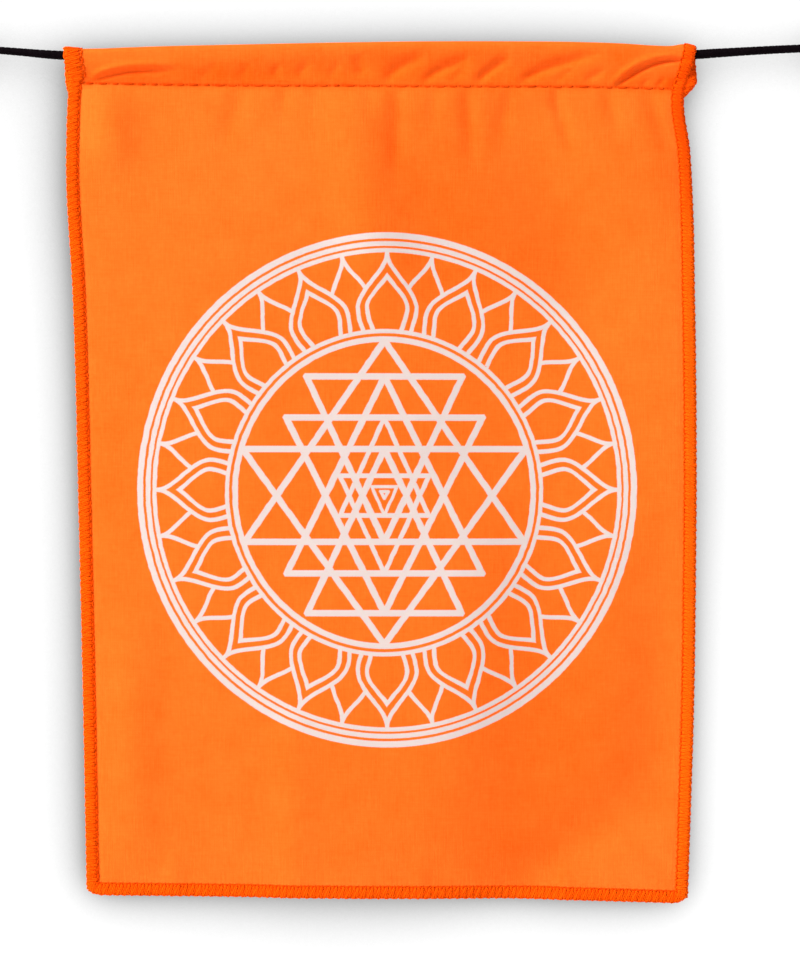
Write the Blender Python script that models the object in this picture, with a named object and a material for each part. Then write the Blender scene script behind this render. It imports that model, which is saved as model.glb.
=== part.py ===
"""A printed cotton prayer flag whose sleeve hangs on a taut cord with a tied loop at each end.

The origin is the bearing point inside the left loop, where a hook holds the cord. X runs along the
cord to the right loop, Y points away from the printed face, and Z is up. Tables and sizes marked
"mm" are in millimetres in the flag's own frame, whose zero is the middle of the flag's top fold.
"""

import math
from collections import namedtuple

import bmesh
import bpy
import numpy as np
from mathutils import Vector

MM = 0.001
WELD = 0.01 * MM

# Where the flag's own frame lies: the middle of its top fold, seen from the left loop's bearing.
FLAG_ORIGIN = Vector((143.0, 0.0, 1.0)) * MM

# The cord, and the loop and knot tied at each end of it.
CORD_DIAMETER = 2.3 * MM
CORD_SIDES_RESOLUTION = 2
CORD_POINT_PITCH = 5.0 * MM
SEAT_GAP = 0.3 * MM
KNOT_LENGTH = 8.0 * MM
KNOT_RADIUS = 2.5 * MM
KNOT_RIDGE = 0.5 * MM
KNOT_TURNS = 4
KNOT_SLANT = 0.35
KNOT_SIDES = 20
RINGS_A_TURN = 4
EYE_LENGTH = 19.7 * MM
EYE_WIDTH = 9.0 * MM
TAIL_LENGTH = 7.0 * MM
EYE_SEGMENTS = 10
TAIL_START = Vector((3.6, 0.5, -0.75)) * MM
TAIL_LEAN = Vector((0.55, 0.25, -0.8)).normalized()
TAIL_SEGMENTS = 4

# The eye's upper strand in mm, from inside the knot outwards: how far along, and its height.
Strand = namedtuple("Strand", "x z")
EYE_STRAND = (
    Strand(4.4, 1.0),
    Strand(7.6, 1.15),
    Strand(9.6, 1.85),
    Strand(13.9, 4.2),
    Strand(17.8, 5.3),
)

# The cotton, as a sheet a little thicker than the real cloth, and its overlocked edges.
CLOTH = 1.0 * MM
OVERLOCK = 1.6 * MM
OVERLOCK_BAND = 3.5 * MM
BAND_SHOULDER = 0.4 * MM
EDGE_ROUNDING = 0.5 * MM
EDGE_SHARE = 0.55
BACK_HEM = 3.0 * MM
HEM_STEP = 0.3 * MM
CORNER_ROUND = 2.0 * MM
CORNER_RISE = 1.2 * MM

# How finely the cloth is divided.
STATIONS_BETWEEN_BANDS = 34
ROWS_OVER_CORD = 4
ROWS_DOWN_SLEEVE = 4
ROWS_DOWN_PANEL = 22
PATH_STEPS = 8
Station = namedtuple("Station", "from_edge share")

# The cord's route through and beyond the sleeve, in mm: it dips a little where the sleeve ends.
Route = namedtuple("Route", "x z")
CORD_ROUTE = (
    Route(-115.0, -2.2),
    Route(-104.0, -3.1),
    Route(-97.0, -3.7),
    Route(-91.0, -4.0),
    Route(-82.0, -3.6),
    Route(-66.0, -3.0),
    Route(-40.0, -2.4),
    Route(-10.0, -1.8),
    Route(13.0, -1.5),
    Route(40.0, -1.5),
    Route(58.0, -1.7),
    Route(72.0, -2.2),
    Route(83.0, -3.0),
    Route(91.0, -3.7),
    Route(98.0, -3.3),
    Route(106.0, -2.8),
    Route(115.0, -2.3),
    Route(126.0, -1.8),
)

# The cut edges in mm: how far each side stands from the middle at a drop below the top fold.
Edge = namedtuple("Edge", "drop x")
LEFT_EDGE = (
    Edge(0.0, -91.1),
    Edge(8.0, -90.7),
    Edge(16.5, -91.2),
    Edge(34.0, -91.7),
    Edge(75.0, -89.8),
    Edge(134.0, -88.3),
    Edge(193.0, -86.9),
    Edge(250.0, -85.8),
)
RIGHT_EDGE = (
    Edge(0.0, 92.1),
    Edge(6.0, 90.8),
    Edge(14.0, 88.4),
    Edge(32.0, 90.1),
    Edge(75.0, 91.3),
    Edge(134.0, 91.8),
    Edge(193.0, 91.3),
    Edge(250.0, 89.4),
)

# Heights in mm along the width: the sleeve's seam and the bottom hem, both a little uneven.
Level = namedtuple("Level", "x z")
TOP_LEVEL = -4.0
SEAM = (
    Level(-92.0, -12.0),
    Level(-61.0, -12.5),
    Level(10.0, -12.9),
    Level(65.0, -13.2),
    Level(92.0, -13.9),
)
BOTTOM = (Level(-92.0, -249.3), Level(-10.0, -249.8), Level(40.0, -250.4), Level(92.0, -251.8))

# The back layer of the sleeve pokes out past the front one at both ends, in mm.
SLIP_START = 0.9
LEFT_SLIP = (Edge(0.0, 0.0), Edge(5.0, -1.0), Edge(10.0, -1.4), Edge(13.0, -0.8), Edge(16.5, 0.0))
RIGHT_SLIP = (Edge(0.0, 0.0), Edge(4.0, 0.4), Edge(9.0, 2.0), Edge(12.0, 3.0), Edge(16.5, 0.0))

# Broad waves of the hanging cloth, in mm: they grow from the sleeve down.
Wave = namedtuple("Wave", "length shift lean rise")
WAVES = (
    Wave(length=150.0, shift=78.0, lean=0.12, rise=1.5),
    Wave(length=71.0, shift=-12.0, lean=-0.16, rise=0.3),
)
WAVE_GROWTH = 120.0

# The main folds, in mm: a soft ridge (rise towards the viewer) or valley (a fall, so negative)
# along a bent line from its first point past its second to its third.
Fold = namedtuple("Fold", "x1 z1 x2 z2 x3 z3 half_width rise")
FOLDS = (
    Fold(-81, -2, -79, -24, -72, -54, 7.5, 1.3),
    Fold(-6, -2, -6, -35, 8, -86, 12.0, 1.6),
    Fold(34, -2, 46, -44, 70, -92, 14.0, -1.5),
    Fold(92, -14, 93, -34, 93, -56, 8.0, -1.3),
    Fold(-73, -160, -72, -205, -72, -248, 7.0, 0.8),
    Fold(-26, -190, -25, -228, -26, -268, 6.0, 0.6),
    Fold(26, -120, 30, -190, 14, -250, 17.0, 1.9),
    Fold(84, -130, 84, -195, 78, -240, 12.0, -1.9),
    Fold(20, -270, 42, -242, 82, -216, 9.0, -1.3),
)
SEAM_HOLD = 8.0

# Slanting puckers in the sleeve's front layer, in mm, as in the table of folds.
PUCKERS = (
    Fold(-90, -9, -78, -6, -52, -6, 2.4, 0.5),
    Fold(-12, -13, 2, -8, 10, -5, 2.8, -0.4),
    Fold(34, -13, 45, -8, 62, -5, 2.8, -0.4),
    Fold(66, -14, 74, -8, 89, -5, 2.6, -0.5),
)

ORANGE = (0.99, 0.19, 0.025, 1.0)
BLACK = (0.016, 0.011, 0.012, 1.0)


def clear_scene():
    for obj in list(bpy.data.objects):
        bpy.data.objects.remove(obj)


def material(name, colour, roughness):
    made = bpy.data.materials.new(name)
    made.use_nodes = True
    shader = made.node_tree.nodes["Principled BSDF"]
    shader.inputs["Base Color"].default_value = colour
    shader.inputs["Roughness"].default_value = roughness
    shader.inputs["Metallic"].default_value = 0.0
    return made


def eased(low, high, value):
    """0 below low, 1 above high, and a smooth step between."""
    t = np.clip((value - low) / (high - low), 0.0, 1.0)
    return t * t * (3.0 - 2.0 * t)


def smooth_curve(keys, values, at):
    """A smooth curve through (key, value) points, with slopes taken from each point's neighbours."""
    keys, values = np.asarray(keys, float), np.asarray(values, float)
    slopes = np.gradient(values, keys)
    at = np.clip(at, keys[0], keys[-1])
    i = np.clip(np.searchsorted(keys, at) - 1, 0, len(keys) - 2)
    span = keys[i + 1] - keys[i]
    t = (at - keys[i]) / span
    start = (1 + 2 * t) * (1 - t) ** 2 * values[i] + t * (1 - t) ** 2 * span * slopes[i]
    end = t * t * (3 - 2 * t) * values[i + 1] + t * t * (t - 1) * span * slopes[i + 1]
    return start + end


def from_table(rows, at):
    keys, values = zip(*rows)
    return smooth_curve(keys, values, at)


def fold_shape(fold, x, z):
    """How far a fold lifts the cloth at x, z: full on its line, fading to its sides and ends."""
    t = np.linspace(0.0, 1.0, PATH_STEPS + 1)
    line_x = (1 - t) ** 2 * fold.x1 + 2 * t * (1 - t) * fold.x2 + t**2 * fold.x3
    line_z = (1 - t) ** 2 * fold.z1 + 2 * t * (1 - t) * fold.z2 + t**2 * fold.z3
    nearest = np.full(np.shape(x), np.inf)
    along = np.zeros(np.shape(x))
    for i in range(PATH_STEPS):
        step_x, step_z = line_x[i + 1] - line_x[i], line_z[i + 1] - line_z[i]
        reach = ((x - line_x[i]) * step_x + (z - line_z[i]) * step_z) / (step_x**2 + step_z**2)
        reach = np.clip(reach, 0.0, 1.0)
        away = np.hypot(x - line_x[i] - reach * step_x, z - line_z[i] - reach * step_z)
        along = np.where(away < nearest, (i + reach) / PATH_STEPS, along)
        nearest = np.minimum(nearest, away)
    fade = (1.0 - (2.0 * along - 1.0) ** 4) ** 2
    return fold.rise * np.exp(-((nearest / fold.half_width) ** 2)) * fade


def panel_rise(x, z):
    """How far the panel stands towards the viewer from its flat plane, in mm."""
    below = from_table(SEAM, x) - z
    rise = sum(fold_shape(fold, x, z) for fold in FOLDS)
    for wave in WAVES:
        turn = 2.0 * math.pi * (x + wave.shift + wave.lean * z) / wave.length
        rise = rise + wave.rise * eased(0.0, WAVE_GROWTH, below) * np.sin(turn)
    return rise * eased(0.0, SEAM_HOLD, below)


def pucker_rise(x, z):
    return sum(fold_shape(fold, x, z) for fold in PUCKERS)


def side_x(station, drop, back=False):
    """Where a station lies across the cloth at a drop below the top fold, in mm."""
    left, right = from_table(LEFT_EDGE, drop), from_table(RIGHT_EDGE, drop)
    x = left + station.from_edge + station.share * (right - left - 2.0 * station.from_edge)
    if not back:
        return x
    across = (x - left) / (right - left)
    left_slip = from_table(LEFT_SLIP, drop) * eased(SLIP_START, 1.0, 1.0 - across)
    return x + left_slip + from_table(RIGHT_SLIP, drop) * eased(SLIP_START, 1.0, across)


def all_stations():
    """The places of the cross-sections: close together on the overlocked bands, even between."""
    band, shoulder, rounding = OVERLOCK_BAND / MM, BAND_SHOULDER / MM, EDGE_ROUNDING / MM
    near = (0.0, rounding, band, band + shoulder)
    left = [Station(distance, 0.0) for distance in near]
    right = [Station(distance, 1.0) for distance in reversed(near)]
    shares = (i / STATIONS_BETWEEN_BANDS for i in range(1, STATIONS_BETWEEN_BANDS))
    return left + [Station(near[-1], share) for share in shares] + right


def half_thickness(from_edge):
    """Half the cloth's thickness in mm at a distance from its overlocked edge."""
    band, shoulder, rounding = OVERLOCK_BAND / MM, BAND_SHOULDER / MM, EDGE_ROUNDING / MM
    thick = (OVERLOCK - (OVERLOCK - CLOTH) * eased(band, band + shoulder, from_edge)) / MM
    return float(0.5 * thick * (EDGE_SHARE + (1.0 - EDGE_SHARE) * eased(0.0, rounding, from_edge)))


def place(station, y, z, back=False):
    """A point of a cross-section, from its depth and height in mm."""
    return Vector((float(side_x(station, -z, back)), y, z)) * MM


def over_cord(station, reach, cord_z):
    """Front and back points of the fold over the cord, from the top down to the cord's middle."""
    front, back = [], []
    for i in range(ROWS_OVER_CORD + 1):
        turn = 0.5 * math.pi * i / ROWS_OVER_CORD
        across, up = reach * math.sin(turn), cord_z + reach * math.cos(turn)
        front.append(place(station, -across, up))
        back.append(place(station, across, up, True))
    return front, back


def sleeve_section(station, cord_z, seam_z):
    """The sleeve's front, back and tunnel points: the two layers close in from cord to seam."""
    layer = CLOTH / MM + half_thickness(station.from_edge) - 0.5 * CLOTH / MM
    inner = (0.5 * CORD_DIAMETER + SEAT_GAP) / MM
    front, back = over_cord(station, inner + layer, cord_z)
    tunnel_front, tunnel_back = over_cord(station, inner, cord_z)
    for i in range(1, ROWS_DOWN_SLEEVE + 1):
        share = i / ROWS_DOWN_SLEEVE
        z = cord_z + share * (seam_z - cord_z)
        pucker = float(pucker_rise(side_x(station, -z), z)) * math.sin(math.pi * share)
        wall = inner * (1.0 - share)
        front.append(place(station, -wall - layer - pucker, z))
        back.append(place(station, wall + layer, z, True))
        if i < ROWS_DOWN_SLEEVE:
            tunnel_front.append(place(station, -wall - pucker, z))
            tunnel_back.append(place(station, wall, z, True))
    for z in (seam_z - 0.5 * BACK_HEM / MM, seam_z - BACK_HEM / MM):
        rise = float(panel_rise(side_x(station, -z), z))
        front.append(place(station, -layer - rise, z))
        back.append(place(station, layer - rise, z, True))
    return front, back, tunnel_front, tunnel_back, place(station, 0.0, seam_z)


def panel_section(station, top_z, bottom_z):
    """The single layer's front and back points, from under the hem down to the bottom edge."""
    band, shoulder, rounding = OVERLOCK_BAND / MM, BAND_SHOULDER / MM, EDGE_ROUNDING / MM
    shares = (i / ROWS_DOWN_PANEL for i in range(ROWS_DOWN_PANEL + 1))
    heights = [band + shoulder + (1.0 - share) * (top_z - bottom_z - band - shoulder) for share in shares]
    heights += [band, 0.5 * band, rounding, 0.0]
    front, back = [], []
    for height in heights:
        z = bottom_z + height
        middle = -0.5 * CLOTH / MM - float(panel_rise(side_x(station, -z), z))
        half = half_thickness(min(station.from_edge, height))
        front.append(place(station, middle - half, z))
        back.append(place(station, middle + half, z))
    return front, back


def section(station):
    """One cross-section of the cloth: outer front and back, tunnel front and back, and its foot."""
    x = float(side_x(station, -TOP_LEVEL))
    seam_z = float(from_table(SEAM, x))
    sleeve = sleeve_section(station, float(from_table(CORD_ROUTE, x)), seam_z)
    front, back, tunnel_front, tunnel_back, foot = sleeve
    nearness = max(0.0, 1.0 - station.from_edge * MM / CORNER_ROUND)
    bottom_z = float(from_table(BOTTOM, x)) + CORNER_RISE / MM * nearness**2
    below_hem = seam_z - (BACK_HEM + HEM_STEP) / MM
    panel_front, panel_back = panel_section(station, below_hem, bottom_z)
    return front + panel_front, back + panel_back, tunnel_front, tunnel_back, foot


def flag_mesh():
    """The cloth as one body: its sections bridged along the width, with an open tunnel."""
    bm = bmesh.new()
    outer_loops, tunnel_loops, ends = [], [], []
    for station in all_stations():
        front, back, tunnel_front, tunnel_back, foot = section(station)
        front = [bm.verts.new(p) for p in front]
        back = [front[0]] + [bm.verts.new(p) for p in back[1:]]
        tunnel_front = [bm.verts.new(p) for p in tunnel_front] + [bm.verts.new(foot)]
        tunnel_back = [bm.verts.new(p) for p in tunnel_back[1:]]
        tunnel_back = [tunnel_front[0], *tunnel_back, tunnel_front[-1]]
        outer_loops.append(front + back[:0:-1])
        tunnel_loops.append(tunnel_front + tunnel_back[-2:0:-1])
        ends.append((front, back, tunnel_front, tunnel_back))
    bridge(bm, outer_loops)
    bridge(bm, tunnel_loops)
    for end in (ends[0], ends[-1]):
        cap_section(bm, *end)
    return closed_mesh("flag_cloth", bm)


def bridge(bm, loops):
    """Joins each closed loop of points to the next one with quads."""
    for here, there in zip(loops, loops[1:]):
        for i in range(len(here)):
            j = (i + 1) % len(here)
            bm.faces.new((here[i], here[j], there[j], there[i]))


def closed_mesh(name, bm):
    """The mesh of a closed body with its faces turned outwards."""
    mesh = bpy.data.meshes.new(name)
    bmesh.ops.recalc_face_normals(bm, faces=bm.faces)
    bm.to_mesh(mesh)
    bm.free()
    return mesh


def cap_section(bm, front, back, tunnel_front, tunnel_back):
    """Closes a cut edge: the two layers round the tunnel, then the single layer below it."""
    seam = len(tunnel_front) - 1
    for outer, inner in ((front, tunnel_front), (back, tunnel_back)):
        for i in range(seam):
            bm.faces.new((outer[i], outer[i + 1], inner[i + 1], inner[i]))
    foot = tunnel_front[-1]
    bm.faces.new((front[seam], front[seam + 1], foot))
    bm.faces.new((foot, front[seam + 1], back[seam + 1]))
    bm.faces.new((foot, back[seam + 1], back[seam]))
    for i in range(seam + 1, len(front) - 1):
        bm.faces.new((front[i], front[i + 1], back[i + 1], back[i]))


def add_object(name, data, location, parent, surface):
    obj = bpy.data.objects.new(name, data)
    bpy.context.scene.collection.objects.link(obj)
    obj.location = location
    obj.parent = parent
    data.materials.append(surface)
    return obj


def tube_curve(name, points, diameter):
    """A round tube with filled ends along straight steps between close points."""
    curve = bpy.data.curves.new(name, "CURVE")
    curve.dimensions = "3D"
    curve.bevel_depth = 0.5 * diameter
    curve.bevel_resolution = CORD_SIDES_RESOLUTION
    curve.use_fill_caps = True
    spline = curve.splines.new("POLY")
    spline.points.add(len(points) - 1)
    for spot, point in zip(spline.points, points):
        spot.co = (*point, 1.0)
    return curve


def cord_points():
    """Evenly spaced points on a smooth curve through the route."""
    xs, zs = zip(*CORD_ROUTE)
    count = round((xs[-1] - xs[0]) * MM / CORD_POINT_PITCH)
    at = np.linspace(xs[0], xs[-1], count + 1)
    return [Vector((x, 0.0, z)) * MM for x, z in zip(at, smooth_curve(xs, zs, at))]


def mesh_of(curve):
    """A curve's tube as a closed mesh, with its end caps welded on."""
    holder = bpy.data.objects.new("tube", curve)
    bpy.context.scene.collection.objects.link(holder)
    mesh = bpy.data.meshes.new_from_object(holder.evaluated_get(bpy.context.evaluated_depsgraph_get()))
    bpy.data.objects.remove(holder)
    bm = bmesh.new()
    bm.from_mesh(mesh)
    bmesh.ops.remove_doubles(bm, verts=bm.verts, dist=WELD)
    return closed_mesh(curve.name, bm)


def knot_mesh():
    """The wrapped knot: a ridged barrel from its flat inner face at x = 0, its turns on a slant."""
    rings = KNOT_TURNS * RINGS_A_TURN
    bm = bmesh.new()
    loops = []
    for i in range(rings + 1):
        along = i / rings
        ridge = KNOT_RIDGE * abs(math.sin(math.pi * along * KNOT_TURNS))
        slant = KNOT_SLANT * math.sin(math.pi * along)
        loop = []
        for j in range(KNOT_SIDES):
            turn = 2.0 * math.pi * j / KNOT_SIDES
            radius = KNOT_RADIUS - KNOT_RIDGE + ridge
            y, z = radius * math.cos(turn), radius * math.sin(turn)
            loop.append(bm.verts.new((along * KNOT_LENGTH + slant * z, y, z)))
        loops.append(loop)
    bridge(bm, loops)
    bm.faces.new(loops[0])
    bm.faces.new(loops[-1])
    return closed_mesh("knot", bm)


def eye_points():
    """The loop's two strands, out of the knot and round the bearing end."""
    bend = 0.5 * (EYE_WIDTH + CORD_DIAMETER)
    bend_x = KNOT_LENGTH + EYE_LENGTH + 0.5 * CORD_DIAMETER - bend
    upper = [Vector((spot.x, 0.0, spot.z)) * MM for spot in EYE_STRAND]
    lower = [Vector((point.x, 0.0, -point.z)) for point in reversed(upper)]
    turns = (math.pi * i / EYE_SEGMENTS for i in range(EYE_SEGMENTS + 1))
    arc = [Vector((bend_x + bend * math.sin(turn), 0.0, bend * math.cos(turn))) for turn in turns]
    return upper + arc + lower


def tail_points():
    """The cord's short free end, leaving the knot's side."""
    step = TAIL_LEAN * TAIL_LENGTH / TAIL_SEGMENTS
    return [TAIL_START + step * i for i in range(TAIL_SEGMENTS + 1)]


def union_with(obj, meshes):
    """Joins closed meshes to an object; each one is a hidden operand of its own Boolean."""
    for number, mesh in enumerate(meshes):
        operand = bpy.data.objects.new(f"{obj.name}_operand_{number}", mesh)
        bpy.context.scene.collection.objects.link(operand)
        operand.parent = obj
        operand.hide_render = True
        operand.display_type = "WIRE"
        join = obj.modifiers.new("join", "BOOLEAN")
        join.operation = "UNION"
        join.object = operand


def end_loop(name, at, facing, parent, surface):
    """A tied end: its knot's inner face at a point, and its eye along X, or -X if facing is -1.

    It tilts until its bearing point is level with the origin."""
    obj = add_object(name, knot_mesh(), at, parent, surface)
    tilt = math.asin(at.z / (KNOT_LENGTH + EYE_LENGTH))
    obj.rotation_euler = (0.0, tilt, 0.0 if facing > 0 else math.pi)
    eye = mesh_of(tube_curve("eye", eye_points(), CORD_DIAMETER))
    tail = mesh_of(tube_curve("tail", tail_points(), CORD_DIAMETER))
    union_with(obj, (eye, tail))
    obj.data.shade_smooth()


def build():
    clear_scene()
    cotton = material("orange_cotton", ORANGE, roughness=0.85)
    black = material("black_cord", BLACK, roughness=0.75)
    base = bpy.data.objects.new("flag_string", None)
    bpy.context.scene.collection.objects.link(base)

    flag = add_object("flag_cloth", flag_mesh(), FLAG_ORIGIN, base, cotton)
    flag.data.shade_smooth()
    points = cord_points()
    add_object("cord", tube_curve("cord", points, CORD_DIAMETER), FLAG_ORIGIN, base, black)
    outward = Vector((SEAT_GAP, 0.0, 0.0))
    end_loop("left_end_loop", FLAG_ORIGIN + points[0] - outward, -1, base, black)
    end_loop("right_end_loop", FLAG_ORIGIN + points[-1] + outward, 1, base, black)


build()
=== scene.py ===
import math
from collections import namedtuple

import bpy
import numpy as np
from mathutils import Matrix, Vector

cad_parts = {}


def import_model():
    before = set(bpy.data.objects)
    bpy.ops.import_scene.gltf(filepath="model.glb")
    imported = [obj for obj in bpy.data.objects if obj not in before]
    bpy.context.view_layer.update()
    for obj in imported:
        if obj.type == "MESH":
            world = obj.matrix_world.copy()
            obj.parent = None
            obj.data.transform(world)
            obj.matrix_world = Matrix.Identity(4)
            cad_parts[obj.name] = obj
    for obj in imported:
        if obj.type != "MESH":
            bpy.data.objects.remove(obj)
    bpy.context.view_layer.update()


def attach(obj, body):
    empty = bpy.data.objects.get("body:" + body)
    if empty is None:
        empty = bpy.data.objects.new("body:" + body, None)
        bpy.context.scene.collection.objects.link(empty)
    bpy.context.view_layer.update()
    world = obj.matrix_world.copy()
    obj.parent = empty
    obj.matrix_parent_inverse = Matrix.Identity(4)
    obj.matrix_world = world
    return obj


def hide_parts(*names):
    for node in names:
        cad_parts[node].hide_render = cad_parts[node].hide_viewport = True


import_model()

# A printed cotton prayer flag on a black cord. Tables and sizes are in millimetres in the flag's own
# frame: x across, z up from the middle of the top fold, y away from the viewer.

MM = 0.001
FLAG_ORIGIN = np.array([143.0, 0.0, 1.0])

# The camera's frame: the view's middle and height at the cloth, as seen from its distance.
VIEW_CENTRE = (5.56, -128.0)
VIEW_HEIGHT = 280.5
LENS_MM = 85.0
SENSOR_MM = 36.0

Route = namedtuple("Route", "x z")
CORD_ROUTE = (
    Route(-115.0, -2.2),
    Route(-104.0, -3.1),
    Route(-97.0, -3.7),
    Route(-91.0, -4.0),
    Route(-82.0, -3.6),
    Route(-66.0, -3.0),
    Route(-40.0, -2.4),
    Route(-10.0, -1.8),
    Route(13.0, -1.5),
    Route(40.0, -1.5),
    Route(58.0, -1.7),
    Route(72.0, -2.2),
    Route(83.0, -3.0),
    Route(91.0, -3.7),
    Route(98.0, -3.3),
    Route(106.0, -2.8),
    Route(115.0, -2.3),
    Route(126.0, -1.8),
)
CORD_DIAMETER = 2.3
Girth = namedtuple("Girth", "x share")
CORD_GIRTH = (
    Girth(-115.0, 0.90),
    Girth(-104.0, 0.98),
    Girth(-94.0, 1.12),
    Girth(-80.0, 1.0),
    Girth(80.0, 1.0),
    Girth(94.0, 1.16),
    Girth(106.0, 1.06),
    Girth(126.0, 1.0),
)
KNOT_LENGTH = 8.0
SEAT_GAP = 0.3
EYE_LENGTH = 19.7
EYE_WIDTH = 9.0

# The cord's round braid, and the wraps of its knots.
BRAID_CARRIERS = 5
BRAID_PITCH = 4.6
BRAID_RELIEF = 0.11
CORD_SIDES = 24
CORD_STEP = 0.36
KNOT_WRAPS = 3
WRAP_RADIUS = 1.75
CORE_SPREAD = 0.75

# The cotton's cut edges, sleeve seam and bottom, within a millimetre of the solid's.
Edge = namedtuple("Edge", "drop x")
LEFT_EDGE = (
    Edge(0.0, -92.2),
    Edge(5.0, -92.0),
    Edge(9.0, -91.2),
    Edge(13.0, -90.9),
    Edge(16.5, -91.1),
    Edge(34.0, -91.7),
    Edge(75.0, -89.8),
    Edge(134.0, -88.3),
    Edge(193.0, -86.9),
    Edge(250.0, -85.8),
)
RIGHT_EDGE = (
    Edge(0.0, 92.1),
    Edge(6.0, 90.8),
    Edge(14.0, 88.4),
    Edge(32.0, 90.1),
    Edge(75.0, 91.3),
    Edge(134.0, 91.8),
    Edge(193.0, 91.3),
    Edge(250.0, 89.4),
)
SLIP_START = 0.9
LEFT_SLIP = (Edge(0.0, 0.0), Edge(5.0, -0.2), Edge(9.0, -0.9), Edge(12.0, -0.9), Edge(16.5, 0.0))
RIGHT_SLIP = (Edge(0.0, 0.0), Edge(4.0, 0.4), Edge(9.0, 2.0), Edge(12.0, 3.0), Edge(16.5, 0.0))
Level = namedtuple("Level", "x z")
SEAM = (
    Level(-92.0, -12.0),
    Level(-61.0, -12.5),
    Level(10.0, -12.9),
    Level(65.0, -13.2),
    Level(92.0, -13.9),
)
BOTTOM = (Level(-92.0, -249.3), Level(-10.0, -249.8), Level(40.0, -250.4), Level(92.0, -251.8))
CLOTH = 0.35
CORD_PLAY = 0.15
BACK_HEM = 3.0
CORNER_ROUND = 4.0
CORNER_RISE = 1.2
CORNER_SPREAD = 0.5
HEM_ROOM = 0.15

# Waves and folds of the panel, nearly as the solid has them, then its finer creases.
Wave = namedtuple("Wave", "length shift lean rise")
WAVES = (
    Wave(length=150.0, shift=78.0, lean=0.12, rise=1.5),
    Wave(length=71.0, shift=-12.0, lean=-0.16, rise=0.3),
)
WAVE_GROWTH = 120.0
SEAM_HOLD = 8.0
Fold = namedtuple("Fold", "x1 z1 x2 z2 x3 z3 half_width rise")
FOLDS = (
    Fold(-81, -2, -80, -20, -76, -40, 6.5, 1.4),
    Fold(-9, -2, -8, -35, 5, -86, 11.0, 1.7),
    Fold(34, -2, 46, -44, 70, -92, 14.0, -1.5),
    Fold(92, -14, 93, -34, 93, -56, 8.0, -1.3),
    Fold(-73, -160, -72, -205, -72, -248, 7.0, 0.8),
    Fold(-26, -190, -25, -228, -26, -268, 6.0, 0.6),
    Fold(26, -120, 30, -190, 14, -250, 17.0, 1.9),
    Fold(84, -130, 84, -195, 78, -240, 12.0, -1.9),
    Fold(20, -270, 42, -242, 82, -216, 9.0, -1.3),
)
CREASES = (
    Fold(-39, -6, -42, -20, -48, -34, 3.2, -0.36),
    Fold(-28.7, -2, -28.7, -14, -28.7, -24, 2.2, -0.36),
    Fold(-20, -2, -20, -12, -19, -20, 2.0, -0.25),
    Fold(-4, -2, -4, -14, -3, -24, 2.4, -0.30),
    Fold(5.2, 0, 4.5, -22, 4, -44, 2.8, -0.50),
    Fold(15.5, -2, 15.3, -16, 15, -28, 2.3, -0.30),
    Fold(25, 0, 25, -20, 27, -38, 2.5, -0.60),
    Fold(33, -2, 33, -12, 33, -20, 1.8, -0.20),
    Fold(41, -1, 37.5, -16, 33.5, -32, 2.4, -0.45),
    Fold(49, -1, 51, -20, 57, -34, 2.1, -0.60),
    Fold(63, -2, 65.5, -16, 71, -28, 2.3, -0.50),
    Fold(75, -2, 78, -18, 86, -34, 2.6, -0.50),
    Fold(-60, -258, -60, -246, -61, -236, 2.8, 0.35),
    Fold(12, -260, 12, -248, 11, -238, 2.4, 0.25),
    Fold(53, -260, 53, -249, 55, -240, 2.4, 0.30),
)
EDGE_CURL = 0.4
EDGE_CURL_REACH = 6.0
RIPPLE_PITCH = 6.3
RIPPLE_RISE = 0.06
RIPPLE_REACH = 8.0

# Soft patches of painted shade, and of painted light where the depth is below 0: broad ones stand in for
# the folds' shading, narrow ones lie along the creases.
Patch = namedtuple("Patch", "x z across down depth")
PAINTED_SHADING_PATCHES = (
    Patch(16, -48, 20, 26, 1.3),
    Patch(46, -66, 18, 16, 0.9),
    Patch(62, -46, 24, 18, 0.6),
    Patch(4, -125, 62, 60, 0.6),
    Patch(54, -200, 24, 36, 1.0),
    Patch(38, -236, 15, 9, 0.9),
    Patch(0, -218, 95, 26, 0.5),
    Patch(-66, -205, 5, 26, 0.5),
    Patch(-80, -128, 16, 44, 0.7),
    Patch(-34, -34, 26, 20, -0.4),
    Patch(-17, -40, 9, 24, 0.4),
    Patch(-86, -20, 7, 13, -0.8),
    Patch(74, -84, 12, 24, -0.25),
    Patch(74, -240, 16, 12, -0.8),
    Patch(-76, -27, 5, 10, 0.25),
    Patch(-74.5, -19, 2.5, 9, 0.45),
    Patch(-44, -21, 3.5, 7, 0.8),
    Patch(-28.9, -14, 1.8, 5, 0.8),
    Patch(3.8, -23, 2.2, 13, 0.9),
    Patch(-1, -21, 4.5, 12, 0.45),
    Patch(1, -40, 6, 12, 0.4),
    Patch(25, -20, 2.4, 11, 0.9),
    Patch(39, -14, 2.2, 5, 0.9),
    Patch(35.5, -22, 3.5, 7, 0.8),
    Patch(50.5, -16, 1.6, 6, 0.8),
    Patch(54, -25, 1.8, 6, 0.9),
    Patch(65.5, -15, 2.4, 6, 0.9),
    Patch(79, -20, 3.0, 8, 0.7),
    Patch(84, -38, 6, 16, 0.5),
)
# Painted shade on the sleeve: patches below the cord and in its right corner, an even share over it, and
# more along its foot at the seam.
SLEEVE_SHADE_PATCHES = (
    Patch(-45, -8.0, 18, 3.5, 1.1),
    Patch(15, -4.6, 46, 3.2, 1.1),
    Patch(15, -9.0, 45, 3.0, 0.6),
    Patch(60, -4.0, 9, 2.5, 0.6),
    Patch(73, -4.0, 8, 3.0, 1.2),
    Patch(87, -12.5, 4.5, 2.0, 3.0),
)
SLEEVE_PAINTED_SHADE = 0.25
SLEEVE_FOOT_PAINTED_SHADE = 1.3
SLEEVE_FOOT_REACH = 4.5
SEAM_DENT = 0.30
SEAM_DENT_REACH = 0.9
BAND_DENT = 0.14
BAND_DENT_REACH = 0.55
Peak = namedtuple("Peak", "x rise")
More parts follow.
